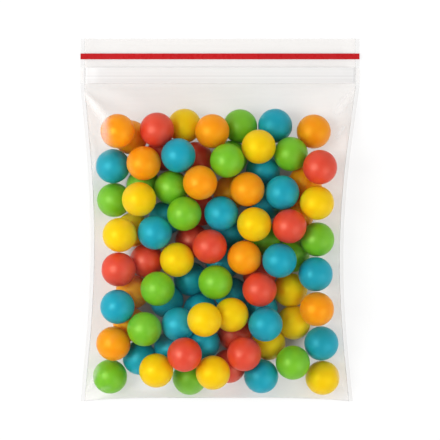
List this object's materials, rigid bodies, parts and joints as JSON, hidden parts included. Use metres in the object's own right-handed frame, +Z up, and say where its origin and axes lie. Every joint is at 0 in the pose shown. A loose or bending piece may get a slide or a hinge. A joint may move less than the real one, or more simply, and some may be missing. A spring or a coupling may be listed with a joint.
{
  "type": "bag of packing balls",
  "caption": "Clear press-to-close film bag with a red line, lying flat and full of loose round foam balls in five colours.",
  "frame": {"origin": "on the surface under the bag, below the middle of its outline", "axes": "+X across the bag, +Y from the bottom fold to the mouth, +Z up from the back panel to the front panel"},
  "size_m": [0.152, 0.1976, 0.0458],
  "materials": {
    "foam_orange": "satin",
    "foam_red": "satin",
    "foam_yellow": "satin",
    "foam_green": "satin",
    "foam_blue": "satin",
    "film": "clear, glossy",
    "red_line": "glossy"
  },
  "bodies": {
    "root": {"bag_film": "film", "ball_blue_1": "foam_blue", "ball_blue_13": "foam_blue", "ball_blue_14": "foam_blue", "ball_blue_2": "foam_blue", "ball_blue_3": "foam_blue", "ball_blue_7": "foam_blue", "ball_blue_8": "foam_blue", "ball_blue_9": "foam_blue", "ball_green_10": "foam_green", "ball_green_2": "foam_green", "ball_green_5": "foam_green", "ball_green_6": "foam_green", "ball_green_7": "foam_green", "ball_green_8": "foam_green", "ball_green_9": "foam_green", "ball_orange_10": "foam_orange", "ball_orange_2": "foam_orange", "ball_orange_3": "foam_orange", "ball_orange_4": "foam_orange", "ball_orange_6": "foam_orange", "ball_orange_8": "foam_orange", "ball_red_2": "foam_red", "ball_red_3": "foam_red", "ball_red_5": "foam_red", "ball_red_8": "foam_red", "ball_red_9": "foam_red", "ball_yellow_1": "foam_yellow", "ball_yellow_10": "foam_yellow", "ball_yellow_11": "foam_yellow", "ball_yellow_12": "foam_yellow", "ball_yellow_2": "foam_yellow", "ball_yellow_3": "foam_yellow", "ball_yellow_4": "foam_yellow", "ball_yellow_6": "foam_yellow", "ball_yellow_7": "foam_yellow", "balls_blue_10": "foam_blue", "balls_blue_11": "foam_blue", "balls_blue_12": "foam_blue", "balls_blue_4": "foam_blue", "balls_blue_5": "foam_blue", "balls_blue_6": "foam_blue", "balls_green_1": "foam_green", "balls_green_3": "foam_green", "balls_green_4": "foam_green", "balls_orange_1": "foam_orange", "balls_orange_5": "foam_orange", "balls_orange_7": "foam_orange", "balls_orange_9": "foam_orange", "balls_red_1": "foam_red", "balls_red_10": "foam_red", "balls_red_4": "foam_red", "balls_red_6": "foam_red", "balls_red_7": "foam_red", "balls_yellow_5": "foam_yellow", "balls_yellow_8": "foam_yellow", "balls_yellow_9": "foam_yellow", "red_line": "red_line", "zip_back": "film", "zip_front": "film"}
  },
  "joints": []
}
